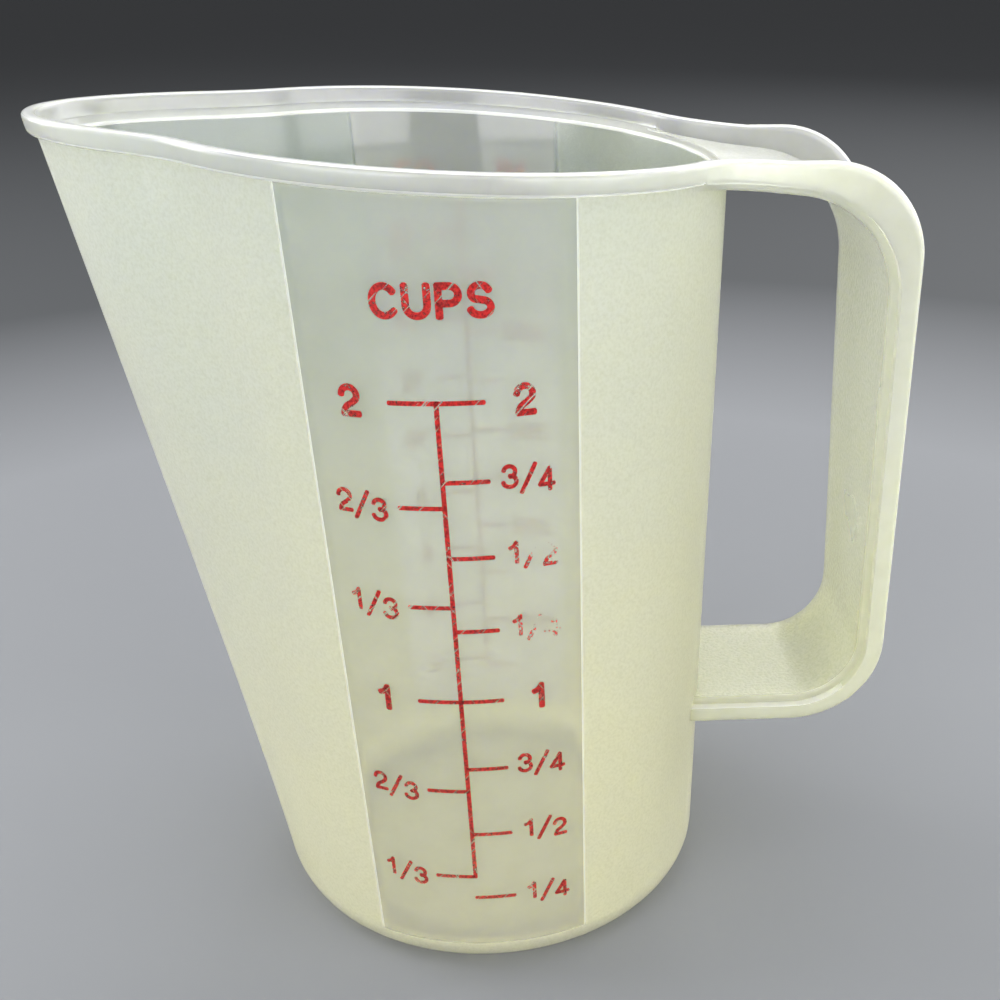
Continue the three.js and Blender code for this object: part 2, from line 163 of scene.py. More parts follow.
rim = RIM_HEIGHT - TOP_GAP
under_band = rim - BAND_HEIGHT - SMALL_ROUND
band_low = rim - BAND_HEIGHT + SMALL_ROUND
ledge_end = rim - LEDGE_TOP - LEDGE_FALL
inner_round = FOOT_ROUND - WALL
foot = -FOOT_ROUND
hollow_edge = foot - STANDING_RING
gate_edge = GATE_RADIUS - BASE_RADIUS
outer_levels = np.linspace(FOOT_ROUND, under_band, WALL_ROWS + 1)[1:]
inner_levels = np.linspace(ledge_end - SMALL_ROUND, FLOOR + inner_round, WALL_ROWS)
section = [
    (-BASE_RADIUS, UNDERSIDE_HOLLOW + GATE_DEPTH),
    (gate_edge, UNDERSIDE_HOLLOW + GATE_DEPTH),
    (gate_edge + SMALL_ROUND, UNDERSIDE_HOLLOW),
    (hollow_edge - UNDERSIDE_HOLLOW, UNDERSIDE_HOLLOW),
    (hollow_edge, 0),
    *section_arc(foot, FOOT_ROUND, FOOT_ROUND, -90, 0, FOOT_STEPS),
    *[(0, level) for level in outer_levels],
    *section_arc(SMALL_ROUND, under_band, SMALL_ROUND, 180, 90, SMALL_STEPS)[1:],
    *section_arc(BAND_STEP - SMALL_ROUND, band_low, SMALL_ROUND, -90, 0, SMALL_STEPS),
    *section_arc(BAND_STEP - EDGE_ROUND, rim - EDGE_ROUND, EDGE_ROUND, 0, 90, EDGE_STEPS),
    *section_arc(BAND_INSIDE + EDGE_ROUND, rim - EDGE_ROUND, EDGE_ROUND, 90, 180, EDGE_STEPS),
    (BAND_INSIDE, rim - LEDGE_TOP + SMALL_ROUND),
    (BAND_INSIDE - SMALL_ROUND / 3, rim - LEDGE_TOP),
    (BAND_INSIDE - SMALL_ROUND, rim - LEDGE_TOP - SMALL_ROUND / 3),
    (SMALL_ROUND - WALL, ledge_end + SMALL_ROUND / 3),
    (SMALL_ROUND / 3 - WALL, ledge_end),
    *[(-WALL, level) for level in inner_levels],
    *section_arc(foot, FLOOR + inner_round, inner_round, 0, -90, FOOT_STEPS)[1:],
    (-BASE_RADIUS, FLOOR),
]

bpy.ops.object.select_all(action="DESELECT")
bpy.ops.mesh.primitive_circle_add(vertices=len(section), radius=BLANK_RADIUS)
moulding = added("jug_moulding")
offsets, heights = np.array(section).T
move_points(moulding, np.stack([BLANK_RADIUS + offsets, 0 * heights, heights], axis=-1))


def open_at_axis():
    """Takes out the edge of the drawn section that runs down the middle of the cup."""
    bpy.ops.mesh.select_all(action="DESELECT")
    bpy.ops.object.mode_set(mode="OBJECT")
    last = len(section) - 1
    for line in moulding.data.edges:
        line.select = set(line.vertices) == {0, last}
    bpy.ops.object.mode_set(mode="EDIT")
    bpy.ops.mesh.select_mode(type="EDGE")
    bpy.ops.mesh.delete(type="EDGE")
    bpy.ops.mesh.select_mode(type="VERT")
    bpy.ops.mesh.select_all(action="SELECT")


def turn_round():
    bpy.ops.mesh.spin(steps=WALL_COLUMNS, angle=2 * math.pi, center=(0, 0, 0), axis=(0, 0, 1))
    bpy.ops.mesh.select_all(action="SELECT")


edit(moulding, open_at_axis, turn_round, weld)
blank = mesh_points(moulding)
blank_height = blank[:, 2]
blank_offset = np.hypot(blank[:, 0], blank[:, 1]) - BLANK_RADIUS
blank_angle = np.arctan2(blank[:, 1], blank[:, 0])
around = np.abs(blank_angle)
column = 2 * math.pi / WALL_COLUMNS
line_angle = PANEL_LINE / BASE_RADIUS
around = np.where(np.isclose(around, PANEL_TO_HANDLE + column), PANEL_TO_HANDLE + line_angle, around)
around = np.where(np.isclose(around, PANEL_TO_SPOUT - column), PANEL_TO_SPOUT - line_angle, around)
angle = np.copysign(around, blank_angle)


def in_band(offset, height):
    return (height > under_band + SMALL_ROUND / 2) & (offset > SMALL_ROUND - WALL)


def in_panel(around):
    return (around > PANEL_TO_HANDLE + line_angle / 2) & (around < PANEL_TO_SPOUT - line_angle / 2)


def on_outside(offset, height):
    foot_reach = np.hypot(offset - foot, height - FOOT_ROUND)
    return np.where(height < FOOT_ROUND, foot_reach > FOOT_ROUND - WALL / 2, offset > -WALL / 2)


corners = np.array([list(face.vertices) for face in moulding.data.polygons])
face_offset = blank_offset[corners].mean(axis=1)
face_height = blank_height[corners].mean(axis=1)
face_around = around[corners].mean(axis=1)
grained = on_outside(face_offset, face_height) & (face_offset > foot)
grained &= ~in_band(face_offset, face_height)
FROSTED_SLOT, INSIDE_SLOT, CLEAR_SLOT, RIM_SLOT, EDGE_HIGHLIGHT_SLOT, GRIP_SLOT = range(6)
wall_finish = np.where(grained, FROSTED_SLOT, INSIDE_SLOT)
in_wall = face_height < under_band
wall_finish = np.where(in_panel(face_around) & in_wall, CLEAR_SLOT, wall_finish)
# Painted highlight: a thin strip of the brighter edge finish along each panel line, beside the panel's
# small step.
to_line = np.minimum(np.abs(face_around - PANEL_TO_HANDLE), np.abs(face_around - PANEL_TO_SPOUT))
wall_finish = np.where((to_line < line_angle) & in_wall & grained, EDGE_HIGHLIGHT_SLOT, wall_finish)
wall_finish = np.where(in_band(face_offset, face_height), RIM_SLOT, wall_finish)
# The whole bottom, inside and underside too, takes the milkier frosted finish: partly the thicker floor's
# own scatter, partly a painted glow for the light gathered in the floor and foot.
wall_finish = np.where(face_height < FOOT_ROUND, FROSTED_SLOT, wall_finish)
# Painted highlights: the brighter edge finish on the rim's top edge, along the band's lower edge and on the
# ledge inside, where these edges catch the light.
top_highlight = face_height > rim - EDGE_ROUND / 3
low_highlight = (face_offset > BAND_STEP - SMALL_ROUND) & (face_height < band_low)
ledge_highlight = (face_offset < SMALL_ROUND - WALL) & (np.abs(face_height - ledge_end) < SMALL_ROUND)
wall_finish = np.where(top_highlight | low_highlight | ledge_highlight, EDGE_HIGHLIGHT_SLOT, wall_finish)

tilt = np.clip((blank_height - FOOT_ROUND) / (under_band - FOOT_ROUND), 0, 1)
banded = in_band(blank_offset, blank_height)
sunk = in_panel(around) & on_outside(blank_offset, blank_height) & ~banded
sink = PANEL_SINK * sunk * np.clip(blank_height / FOOT_ROUND, 0, 1)
offset = blank_offset - LIP_TUCK * spout_share(angle) * banded - sink
places = wall_point(angle, offset, blank_height, tilt)
foot_edge = wall_point(angle, foot + 0 * offset, blank_height, 0 * tilt)
middle = np.stack([MOUTH_SHIFT * blank_height / RIM_HEIGHT, 0 * tilt, blank_height], axis=-1)
floor_share = np.clip((blank_offset + BASE_RADIUS) / (BASE_RADIUS - FOOT_ROUND), 0, 1)
floor_places = middle + (foot_edge - middle) * floor_share[:, None]
places = np.where((blank_offset < foot)[:, None], floor_places, places)
move_points(moulding, places)
edit(moulding, weld, face_out)

# The handle
# Part of the same moulding: a flat strap that leaves the rim, turns down for the grip and comes back to the
# wall, with the rim's band running on along both of its edges.

WEB = 1.5 * MM
FINGER_GAP = 23.5 * MM
GRIP_LEAN = math.tan(math.radians(1.9))
BRIDGE_HEIGHT = 37.3 * MM
UPPER_DEPTH = 4.7 * MM
UPPER_FALL = 0.12
WEB_HALF_WIDTH = 12.9 * MM
WEB_FLARE = 0.05
HANDLE_STEP = 1.6 * MM
FINGER_ROUND_TOP = 16 * MM
FINGER_ROUND_LOW = 11 * MM
BAND_ROUND_TOP = 15 * MM
STRAP_DEPTH = WEB + BAND_HEIGHT
HIDDEN = 0.05 * MM
BAND_FOOT = WEB - 4 * HIDDEN
ROOT_STEPS = 16
CORNER_STEPS = 20
GRIP_STEPS = 10
LOWER_STEPS = 8
WEB_CUTS = 15
REACH_ROUNDS = 12
ROOT_OVERLAP = math.radians(2)
JOINING_START = 0.8
JOINING_RUN = 0.2
CHANNEL_MOUTH = 0.9
CHANNEL_OVERRUN = 4 * BAND_WIDTH
SMOOTH_UP_TO = 32
GRIP_REACH = MOUTH_RADIUS + FINGER_GAP
JOINT = GRIP_REACH - GRIP_LEAN * (RIM_HEIGHT - BRIDGE_HEIGHT) - FINGER_ROUND_TOP


def finger_level(x):
    return rim_level(JOINT) - UPPER_DEPTH - UPPER_FALL * (x - JOINT)


def web_back_level(x):
    return finger_level(x) + WEB


def joint_level(x):
    return rim_level(JOINT) + 0 * x


def web_half(height):
    return WEB_HALF_WIDTH + WEB_FLARE * (height - BRIDGE_HEIGHT)


def rounded_corner(before, corner, after, radius):
    """Arc of a radius that rounds the corner between two straight lines."""
    to_before = (before - corner).normalized()
    to_after = (after - corner).normalized()
    half = to_before.angle(to_after) / 2
    centre = corner + (to_before + to_after).normalized() * radius / math.sin(half)
    start = corner + to_before * radius / math.tan(half) - centre
    end = corner + to_after * radius / math.tan(half) - centre
    sweep = math.atan2(start.cross(end), start.dot(end))
    return [centre + Matrix.Rotation(sweep * i / CORNER_STEPS, 2) @ start for i in range(CORNER_STEPS + 1)]


def strap_line(top_level, depth, round_top):
    """Side view of the strap between its two joints, a depth away from the fingers."""
    low = BRIDGE_HEIGHT - depth

    def grip_x(height):
        return GRIP_REACH + depth - GRIP_LEAN * (height - BRIDGE_HEIGHT)

    start = Vector((JOINT, top_level(JOINT)))
    corner_top = top_level(grip_x(start.y))
    upper_corner = Vector((grip_x(corner_top), corner_top))
    lower_corner = Vector((grip_x(low), low))
    end = Vector((BASE_RADIUS, low))
    upper = rounded_corner(start, upper_corner, lower_corner, round_top)
    lower = rounded_corner(upper_corner, lower_corner, end, FINGER_ROUND_LOW + depth)
    grip = [upper[-1].lerp(lower[0], i / GRIP_STEPS) for i in range(1, GRIP_STEPS)]
    return np.array([start, *upper, *grip, *lower])


finger_line = strap_line(finger_level, 0, FINGER_ROUND_TOP)
back_line = strap_line(web_back_level, WEB, FINGER_ROUND_TOP + WEB)
edge_line = strap_line(joint_level, STRAP_DEPTH, BAND_ROUND_TOP)
STRAP_STEPS = len(finger_line) - 1
ALL_STEPS = ROOT_STEPS + STRAP_STEPS + LOWER_STEPS


def root_blend(half_width, rim_offset):
    """Hollow arc that carries an edge of the strap into the round rim: its middle, radius and end."""
    rise = rim_level(JOINT) / RIM_HEIGHT
    middle = MOUTH_SHIFT * rise
    rim_radius = wall_radius(0, rise) + rim_offset
    length = JOINT - middle
    radius = (length**2 + half_width**2 - rim_radius**2) / (2 * (rim_radius - half_width))
    meet = math.atan2(half_width + radius, length)
    return half_width + radius, radius, meet


def root_edge(x, half_width, rim_offset):
    """Half width of the strap at a place before its joint, where it widens into the rim."""
    centre, radius, meet = root_blend(half_width, rim_offset)
    away = np.clip(JOINT - x, 0, radius * math.cos(meet))
    return centre - np.sqrt(radius**2 - away**2)


def between(low, high, share):
    return low + (high - low) * share


def strap_side(step, depth):
    """Place in side view at a step along the strap, counted from its upper joint."""
    index = np.clip(step, 0, STRAP_STEPS).astype(int)
    web_share = np.clip(depth / WEB, 0, 1)[:, None]
    band_share = np.clip((depth - WEB) / BAND_HEIGHT, 0, 1)[:, None]
    in_web = between(finger_line[index], back_line[index], web_share)
    return between(in_web, edge_line[index], band_share)


def straight_strip(name, width, low, high):
    """Straight bar of length 1, to be cut and bent: its run along X, its width in Y, its depth in Z."""
    bpy.ops.object.select_all(action="DESELECT")
    bpy.ops.mesh.primitive_cube_add(size=1, location=(0.5, 0, 0))
    bpy.ops.transform.translate(value=(0, 0, (low + high) / 2))
    bpy.ops.transform.resize(value=(1, width, high - low))
    bpy.ops.object.transform_apply(location=True, rotation=True, scale=True)
    return added(name)


def select_edges(piece, wanted):
    """Selects the edges for which wanted(start, end) holds."""
    bpy.ops.object.mode_set(mode="OBJECT")
    points = mesh_points(piece)
    for part in (*piece.data.polygons, *piece.data.vertices):
        part.select = False
    for line in piece.data.edges:
        line.select = bool(wanted(*points[list(line.vertices)]))
    bpy.ops.object.mode_set(mode="EDIT")
    bpy.ops.mesh.select_mode(type="EDGE")


def lengthwise(start, end):
    return abs(start[0] - end[0]) > 0.5


def crosswise(start, end):
    return abs(start[1] - end[1]) > 0.5 * WEB_HALF_WIDTH


strip_width = 2 * WEB_HALF_WIDTH
web = straight_strip("web_strip", strip_width, 0, WEB)


def round_web_edges():
    select_edges(web, lambda start, end: lengthwise(start, end) and start[2] < WEB / 2)
    bpy.ops.mesh.bevel(offset=SMALL_ROUND, segments=SMALL_STEPS, affect="EDGES")


def cut_web():
    select_edges(web, crosswise)
    bpy.ops.mesh.subdivide(number_cuts=WEB_CUTS)
    select_edges(web, lengthwise)
    bpy.ops.mesh.subdivide(number_cuts=ALL_STEPS - 1)


edit(web, round_web_edges, cut_web)
web_sides = np.array([face.center.y for face in web.data.polygons])
web_finish = np.where(np.abs(web_sides) > WEB_HALF_WIDTH - SMALL_ROUND, RIM_SLOT, GRIP_SLOT)


def wall_x(y, rise):
    """Place halfway through the wall's thickness, on the handle's side, at a share of the rim height."""
    radius = wall_radius(0, rise) - WALL / 2
    return MOUTH_SHIFT * rise + np.sqrt(radius**2 - y**2)


def bend_web(points):
    """Bends the straight strip round the handle's outline and widens it into the rim."""
    step = np.rint(points[:, 0] * ALL_STEPS)
    share = points[:, 1] / WEB_HALF_WIDTH
    depth = points[:, 2]
    side = strap_side(step - ROOT_STEPS, depth)
    x, z = side.T
    half = web_half(z)
    root = np.clip(1 - step / ROOT_STEPS, 0, 1)
    top_half = web_half(rim_level(JOINT))
    rise = rim_level(JOINT) / RIM_HEIGHT
    y = share * half
    reach = x
    for _ in range(REACH_ROUNDS):
        reach = between(x, wall_x(y, rise), root)
        y = share * np.where(root > 0, root_edge(reach, top_half, 0), half)
    level = finger_level(reach) + depth
    z = np.where(root > 0, level, z)
    lower = np.clip((step - ROOT_STEPS - STRAP_STEPS) / LOWER_STEPS, 0, 1)
    return np.stack([between(reach, wall_x(y, z / RIM_HEIGHT), lower), y, z], axis=-1)


move_points(web, bend_web(mesh_points(web)))
edit(web, face_out)

flange = straight_strip("band_strip", BAND_WIDTH, BAND_FOOT, STRAP_DEPTH)


def round_band_edges():
    select_edges(flange, lambda start, end: lengthwise(start, end) and start[2] > WEB)
    bpy.ops.mesh.bevel(offset=EDGE_ROUND, segments=EDGE_STEPS, affect="EDGES")


def cut_band():
    select_edges(flange, lengthwise)
    bpy.ops.mesh.subdivide(number_cuts=ALL_STEPS - 1)


edit(flange, round_band_edges, cut_band)
band_runs, _, band_depths = np.array([face.center for face in flange.data.polygons]).T
# Painted highlights: the brighter edge finish on each band's top edge, and on its foot along the lower
# bridge.
lower_bridge = band_runs > 1 - (LOWER_STEPS + CORNER_STEPS / 2) / ALL_STEPS
on_highlight = (band_depths > STRAP_DEPTH - EDGE_ROUND / 3) | (lower_bridge & (band_depths < BAND_FOOT + HIDDEN))
band_finish = np.where(on_highlight, EDGE_HIGHLIGHT_SLOT, RIM_SLOT)


def bend_band(points):
    """Bends a straight band along one edge of the strap and round the hollow arc into the rim."""
    step = np.rint(points[:, 0] * ALL_STEPS)
    inwards = BAND_WIDTH / 2 - points[:, 1]
    depth = points[:, 2]
    side = strap_side(step - ROOT_STEPS, depth)
    x, z = side.T
    y = web_half(z) + HANDLE_STEP - inwards
    lower = np.clip((step - ROOT_STEPS - STRAP_STEPS) / LOWER_STEPS, 0, 1)
    x = between(x, wall_x(y, z / RIM_HEIGHT), lower)
    top_half = web_half(rim_level(JOINT)) + HANDLE_STEP
    centre, radius, meet = root_blend(top_half, BAND_STEP)
    root = np.clip(1 - step / ROOT_STEPS, 0, 1)
    tuck = np.where(step == 0, HIDDEN, 0)
    turn = between(-math.pi / 2, meet - math.pi - ROOT_OVERLAP, root)
    squeeze = between(inwards, BAND_WIDTH / 2, 2 * tuck / BAND_WIDTH)
    root_x = JOINT + (radius + squeeze) * np.cos(turn)
    root_y = centre + (radius + squeeze) * np.sin(turn)
    below = (STRAP_DEPTH - depth) / (STRAP_DEPTH - BAND_FOOT)
    joining = np.clip((root - JOINING_START) / JOINING_RUN, 0, 1)
    low = between(finger_level(root_x) + BAND_FOOT, rim_level(root_x) - BAND_HEIGHT + HIDDEN, joining)
    root_z = between(rim_level(root_x) - tuck, low, below)
    root_places = np.stack([root_x, root_y, root_z], axis=-1)
    strap_places = np.stack([x, y, z], axis=-1)
    return np.where((root > 0)[:, None], root_places, strap_places)


move_points(flange, bend_band(mesh_points(flange)))
edit(flange, face_out)


def own_copy(piece, name):
    twin = piece.copy()
    twin.data = piece.data.copy()
    twin.name = name
    bpy.context.collection.objects.link(twin)
    return twin


far_flange = own_copy(flange, "far_band_strip")
move_points(flange, mesh_points(flange) * (1, -1, 1))
edit(flange, face_out)

channel_space = straight_strip("channel_space", 2, 0, 1)


def cut_channel():
    select_edges(channel_space, lengthwise)
    bpy.ops.mesh.subdivide(number_cuts=ROOT_STEPS)


edit(channel_space, cut_channel)


def shape_channel(points):
    """Space between the two bands over the strap's root, with its floor at the back of the web."""
    step = np.rint(points[:, 0] * (ROOT_STEPS + 1))
    top_half = web_half(rim_level(JOINT)) + HANDLE_STEP
    centre, radius, meet = root_blend(top_half, BAND_STEP)
    root = np.clip(1 - (step - 1) / ROOT_STEPS, 0, 1)
    inwards = np.where(root > CHANNEL_MOUTH, BAND_WIDTH, BAND_WIDTH / 2)
    turn = between(-math.pi / 2, meet - math.pi, root)
    x = JOINT + (radius + inwards) * np.cos(turn)
    y = centre + (radius + inwards) * np.sin(turn)
    first = step == 0
    x = np.where(first, x - CHANNEL_OVERRUN, x)
    z = np.where(points[:, 2] > 0.5, RIM_HEIGHT + BAND_HEIGHT, web_back_level(x) - HIDDEN)
    return np.stack([x, y * np.sign(points[:, 1]), z], axis=-1)


move_points(channel_space, shape_channel(mesh_points(channel_space)))
edit(channel_space, face_out)


class Wire:
    """A node socket that can be used in sums, and that adds further nodes to its own tree."""

    def __init__(self, tree, socket=None):
        self.tree = tree
        self.socket = socket

    def node(self, kind, settings, inputs, output=0):
        made = self.tree.nodes.new(kind)
        for key, value in settings.items():
            setattr(made, key, value)
        for key, value in inputs.items():
            known = [s for s in made.inputs if key in (s.identifier, s.name)]
            if isinstance(value, Wire):
                self.tree.links.new(value.socket, known[0])
            else:
                known[0].default_value = value
        named = [s for s in made.outputs if output in (s.identifier, s.name)]
        return Wire(self.tree, named[0] if named else made.outputs[output])

    def sum(self, operation, first, second=0.0):
        return self.node("ShaderNodeMath", {"operation": operation}, {"Value": first, "Value_001": second})

    def __add__(self, other):
        return self.sum("ADD", self, other)

    def __radd__(self, other):
        return self.sum("ADD", other, self)

    def __sub__(self, other):
        return self.sum("SUBTRACT", self, other)

    def __rsub__(self, other):
        return self.sum("SUBTRACT", other, self)

    def __mul__(self, other):
        return self.sum("MULTIPLY", self, other)

    def __rmul__(self, other):
        return self.sum("MULTIPLY", other, self)

    def coordinates(self):
        return self.node("ShaderNodeTexCoord", {}, {}, "Object")

    def axis(self, name):
        return self.node("ShaderNodeSeparateXYZ", {}, {"Vector": self}, name)

    def clamped(self):
        return self.node("ShaderNodeClamp", {}, {"Value": self})

    def grain(self, size, detail=2.0):
        """Soft noise with features of about a size, on the coordinates of this socket."""
        values = {"Vector": self, "Scale": 1 / size, "Detail": detail}
        return self.node("ShaderNodeTexNoise", {}, values, "Fac")

    def scratches(self, turn, length, width):
        """Noise drawn out into streaks in the plane of the printed panels."""
        values = {"Vector": self, "Rotation": (0, turn, 0), "Scale": (width, length, length)}
        streaks = self.node("ShaderNodeMapping", {"vector_type": "TEXTURE"}, values)
        return streaks.grain(1.0, 1.0)

    def near(self, place, reach):
        """1 at a place, falling to 0 at a reach from it."""
        settings = {"operation": "DISTANCE"}
        values = {"Vector": self, "Vector_001": place}
        return (1 - self.node("ShaderNodeVectorMath", settings, values, "Value") * (1 / reach)).clamped()

    def mixed(self, first, second, blend="MIX"):
        """Colour between two colours, by this value."""
        settings = {"data_type": "RGBA", "blend_type": blend}
        values = {"Factor_Float": self, "A_Color": first, "B_Color": second}
        return self.node("ShaderNodeMix", settings, values, "Result_Color")


def new_material(name):
    material = bpy.data.materials.new(name)
    material.use_nodes = True
    material.node_tree.nodes.clear()
    return material, Wire(material.node_tree)


def set_surface(material, shader):
    tree = material.node_tree
    tree.links.new(shader.socket, tree.nodes.new("ShaderNodeOutputMaterial").inputs["Surface"])


SCATTER_LENGTH = 5 * MM
SCATTER_COLOUR = (1.0, 1.0, 0.75)
PAINTED_GLOW_RUN = 350 * MM
REFRACTION = 1.49
GLOSS = 0.3
CLOUD_SIZE = 25 * MM
CLOUD_DETAIL = 3
CLOUD_TINT = 0.5
CLOUD_DULLNESS = 0.1
GRAIN_CONTRAST = 4
GRAIN_SHADE = (0.86, 0.86, 0.82, 1)


def plastic(draw, high, low, dullness, clearness, grain_size, grain_depth, grain_shade):
    """Milky plastic: light scatters in it, and some passes straight through. Its colour carries a painted
    glow, warmer and mostly lighter lower down and towards the handle's side.
    """
    place = draw.coordinates()
    cloud = place.grain(CLOUD_SIZE, CLOUD_DETAIL)
    grain = place.grain(grain_size)
    # Painted glow: the colour moves towards the low colour lower down and towards the handle's side; the
    # cloud adds random tone.
    level = place.axis("Z") * (1 / RIM_HEIGHT) - place.axis("X") * (1 / PAINTED_GLOW_RUN)
    level = (level + (cloud - 0.5) * CLOUD_TINT).clamped()
    speck = ((grain - 0.5) * GRAIN_CONTRAST * grain_shade + 0.5 * grain_shade).clamped()
    bumps = {"Height": grain, "Strength": 1.0, "Distance": grain_depth}
    return draw.node("ShaderNodeBsdfPrincipled", {}, {
        "Base Color": speck.mixed(level.mixed(low, high), GRAIN_SHADE, "MULTIPLY"),
        "Roughness": dullness + (cloud - 0.5) * CLOUD_DULLNESS,
        "Normal": draw.node("ShaderNodeBump", {}, bumps, "Normal"),
        "IOR": REFRACTION,
        "Specular IOR Level": GLOSS,
        "Transmission Weight": clearness,
        "Subsurface Weight": 1.0,
        "Subsurface Radius": SCATTER_COLOUR,
        "Subsurface Scale": SCATTER_LENGTH})


def plain_finish(name, **recipe):
    material, draw = new_material(name)
    set_surface(material, plastic(draw, **recipe))
    return material


# The TOP and LOW colours are the two ends of the painted glow: lower down and towards the handle's side
# each finish is painted towards its LOW colour, warmer and mostly lighter.
PALE_TOP = (0.865, 0.89, 0.78, 1)
PALE_LOW = (0.998, 0.965, 0.68, 1)
CLEAR_TOP = (0.85, 0.89, 0.84, 1)
CLEAR_LOW = (0.99, 0.965, 0.80, 1)
# Painted shade: the inside is painted dark bluish grey towards the top.
SHADED_INSIDE_TOP = (0.66, 0.74, 0.74, 1)
RIM_TOP = (0.92, 0.945, 0.90, 1)
RIM_LOW = (0.99, 0.98, 0.80, 1)
# Colour of the painted highlights on edges and panel lines.
EDGE_HIGHLIGHT_TOP = (0.88, 0.905, 0.83, 1)
RIM_GLOW_TOP = (0.885, 0.91, 0.81, 1)
GRIP_TOP = (0.93, 0.96, 0.87, 1)
GRIP_LOW = (0.90, 0.91, 0.66, 1)
frosted = plain_finish(
    "frosted_plastic", high=PALE_TOP, low=PALE_LOW, dullness=0.5, clearness=0.68,
    grain_size=0.5 * MM, grain_depth=0.05 * MM, grain_shade=0.6)
clear = plain_finish(
    "clear_plastic", high=CLEAR_TOP, low=CLEAR_LOW, dullness=0.08, clearness=0.855,
    grain_size=5 * MM, grain_depth=0.004 * MM, grain_shade=0.2)
# Painted shade: the inside finish darkens to bluish grey towards the top.
inside = plain_finish(
    "inside_plastic", high=SHADED_INSIDE_TOP, low=PALE_LOW, dullness=0.2, clearness=0.9,
    grain_size=3 * MM, grain_depth=0.02 * MM, grain_shade=0.3)
# Painted highlight: a milkier copy of the rim plastic that renders brighter, put on edges and panel lines
# that catch the light.
edge = plain_finish(
    "edge_highlight_plastic", high=EDGE_HIGHLIGHT_TOP, low=RIM_LOW, dullness=0.15, clearness=0.5,
    grain_size=3 * MM, grain_depth=0.01 * MM, grain_shade=0.1)
grip = plain_finish(
    "grip_plastic", high=GRIP_TOP, low=GRIP_LOW, dullness=0.26, clearness=0.68,
    grain_size=0.6 * MM, grain_depth=0.15 * MM, grain_shade=0.6)

# Painted glow on the rim: near the handle, at the front and at the spout the rim is a milkier, yellower
# copy of its plastic, standing in for light coming through it there; towards the rear it stays clearer and
# greyer.
HANDLE_GLOW_FROM = 5 * MM
HANDLE_GLOW_RUN = 25 * MM
FRONT_GLOW = 0.7
FRONT_GLOW_RUN = 30 * MM
SPOUT_GLOW = 0.5
SPOUT_GLOW_FROM = 25 * MM
SPOUT_GLOW_RUN = 30 * MM

rim_plastic, draw = new_material("rim_plastic")
place = draw.coordinates()
to_handle = place.axis("X")
near_handle = ((to_handle - HANDLE_GLOW_FROM) * (1 / HANDLE_GLOW_RUN)).clamped()
near_front = (FRONT_GLOW - place.axis("Y") * (1 / FRONT_GLOW_RUN)).clamped()
near_spout = ((to_handle + SPOUT_GLOW_FROM) * (-1 / SPOUT_GLOW_RUN)).clamped()
# Painted glow: the mix leans to the milkier, yellower copy by place on the rim.
set_surface(rim_plastic, draw.node("ShaderNodeMixShader", {}, {
    "Fac": near_handle * near_front + near_spout * SPOUT_GLOW,
    "Shader": plastic(
        draw, high=RIM_TOP, low=RIM_LOW, dullness=0.18, clearness=0.82,
        grain_size=3 * MM, grain_depth=0.01 * MM, grain_shade=0.2),
    "Shader_001": plastic(
        draw, high=RIM_GLOW_TOP, low=GRIP_LOW, dullness=0.3, clearness=0.7,
        grain_size=3 * MM, grain_depth=0.01 * MM, grain_shade=0.3)}))
finishes = [frosted, inside, clear, rim_plastic, edge, grip]


def give_plastic(piece, faces):
    """Puts all the finishes on a piece, and one of them on each of its faces."""
    piece.data.materials.clear()
    for finish in finishes:
        piece.data.materials.append(finish)
    indices = np.zeros(len(piece.data.polygons), dtype=np.int32) + faces
    piece.data.polygons.foreach_set("material_index", indices.astype(np.int32))


give_plastic(moulding, wall_finish)
give_plastic(web, web_finish)
give_plastic(channel_space, RIM_SLOT)
for solid in (flange, far_flange):
    give_plastic(solid, band_finish)


def join_solids(piece, tool, operation):
    """Adds a solid to a piece or takes it away, and removes the solid."""
    bpy.ops.object.select_all(action="DESELECT")
    bpy.context.view_layer.objects.active = piece
    modifier = piece.modifiers.new(operation, "BOOLEAN")
    modifier.object = tool
    modifier.operation = operation
    modifier.solver = "MANIFOLD"
    bpy.ops.object.modifier_apply(modifier=modifier.name)
    bpy.data.objects.remove(tool)


join_solids(moulding, channel_space, "DIFFERENCE")
join_solids(moulding, web, "UNION")
join_solids(moulding, flange, "UNION")
join_solids(moulding, far_flange, "UNION")


def smooth(piece, degrees):
    bpy.ops.object.select_all(action="DESELECT")
    bpy.context.view_layer.objects.active = piece
    piece.select_set(True)
    bpy.ops.object.shade_smooth_by_angle(angle=math.radians(degrees))


smooth(moulding, SMOOTH_UP_TO)
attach(moulding, "root")
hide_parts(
    "base_floor", "front_panel", "rear_panel", "spout_wall", "handle_side_wall", "spout_lip",
    "rim_front", "rim_rear", "handle_root", "handle_web", "handle_band_front", "handle_band_rear")

# The printed cup scale
# Red ink screened on to the front panel: a heading, a stem with ticks for quarters and thirds of a cup, and
# a number beside each tick. It is worn and scratched.

STEM_ANGLE = math.radians(92.4)
CUP = 236.588
TICK = 6.2 * MM
STROKE = 0.68 * MM
FILM = 0.04 * MM
LIFT = 0.03 * MM
NUMBER_HEIGHT = 4.7 * MM
NUMBER_STROKE = 0.95 * MM
FRACTION_HEIGHT = 3.7 * MM
FRACTION_STROKE = 0.63 * MM
FRACTION_STEP = 0.5 * MM
FRACTION_SPREAD = 2.6 * MM
SLASH_HEIGHT = 4.6 * MM
LABEL_REACH = 11.8 * MM
HEADING_HEIGHT = 4.85 * MM
HEADING_STROKE = 1.0 * MM
HEADING_LEVEL = 117.5 * MM
HEADING_MIDDLE = 0.45 * MM
HEADING_GAP = 0.45 * MM
NO_LENGTH = 1e-9
FEWEST_CUTS = 4
CUTS_PER_WIDTH = 5
ARC_POINTS = 25
ROUND_POINTS = 121
END_ROUND = 0.3


